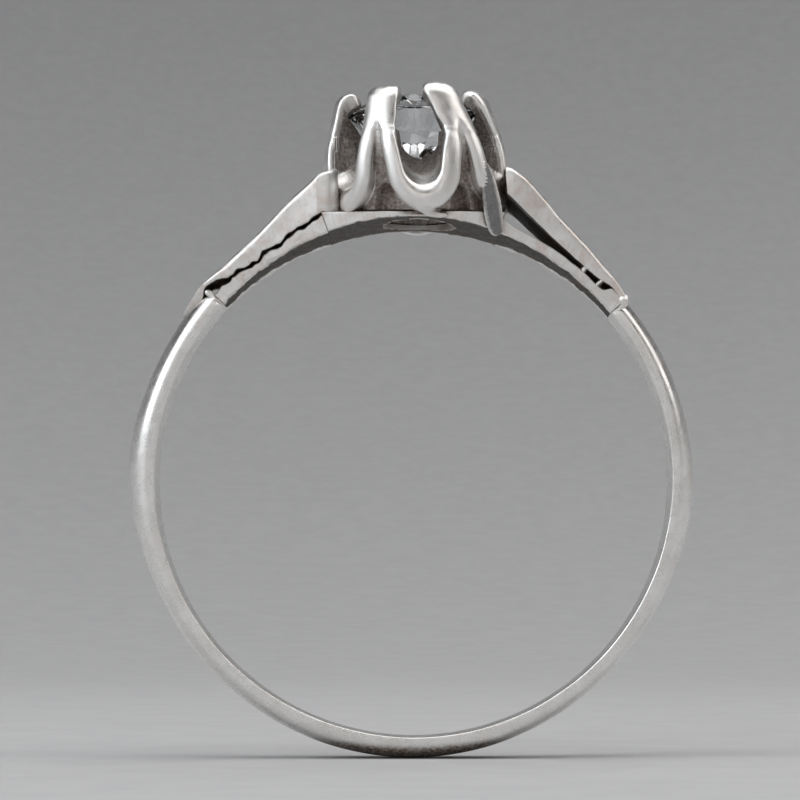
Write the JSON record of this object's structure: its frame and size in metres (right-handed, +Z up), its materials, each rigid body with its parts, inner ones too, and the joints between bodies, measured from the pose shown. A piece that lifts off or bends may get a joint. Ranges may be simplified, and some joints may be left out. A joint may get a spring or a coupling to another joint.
{
  "type": "engagement ring",
  "caption": "Solitaire ring with a D-section band, forked shoulders and a coronet claw head holding a round brilliant stone.",
  "frame": {"origin": "centre of the finger hole, midway across the band's width", "axes": "+Z up through the middle of the head and stone, +Y along the finger towards the back of the hand's far side, +X across the ring to the right shoulder"},
  "size_m": [0.0188, 0.0063, 0.0222],
  "materials": {
    "polished_metal": "white gold, polished with a light satin wear",
    "inner_metal": "white gold, unpolished inside the head",
    "solder": "rough white solder",
    "stone": "clear faceted diamond"
  },
  "bodies": {
    "root": {"shank": "polished_metal", "lower_rail_left": "polished_metal", "lower_rail_right": "polished_metal", "upper_strap_left": "polished_metal", "upper_strap_right": "polished_metal", "saddle_plate": "polished_metal", "loop_1": "polished_metal", "loop_2": "polished_metal", "loop_3": "polished_metal", "loop_4": "polished_metal", "loop_5": "polished_metal", "loop_6": "polished_metal", "claw_1": "polished_metal", "claw_2": "polished_metal", "claw_3": "polished_metal", "claw_4": "polished_metal", "claw_5": "polished_metal", "claw_6": "polished_metal", "coronet_wall": "inner_metal", "diamond": "stone", "solder_seam_left": "solder", "solder_seam_right": "solder", "solder_bead_right": "solder", "solder_bridge_right_1": "solder", "solder_bridge_right_2": "solder", "solder_tail_front": "solder", "solder_leg_right": "solder"}
  },
  "joints": []
}
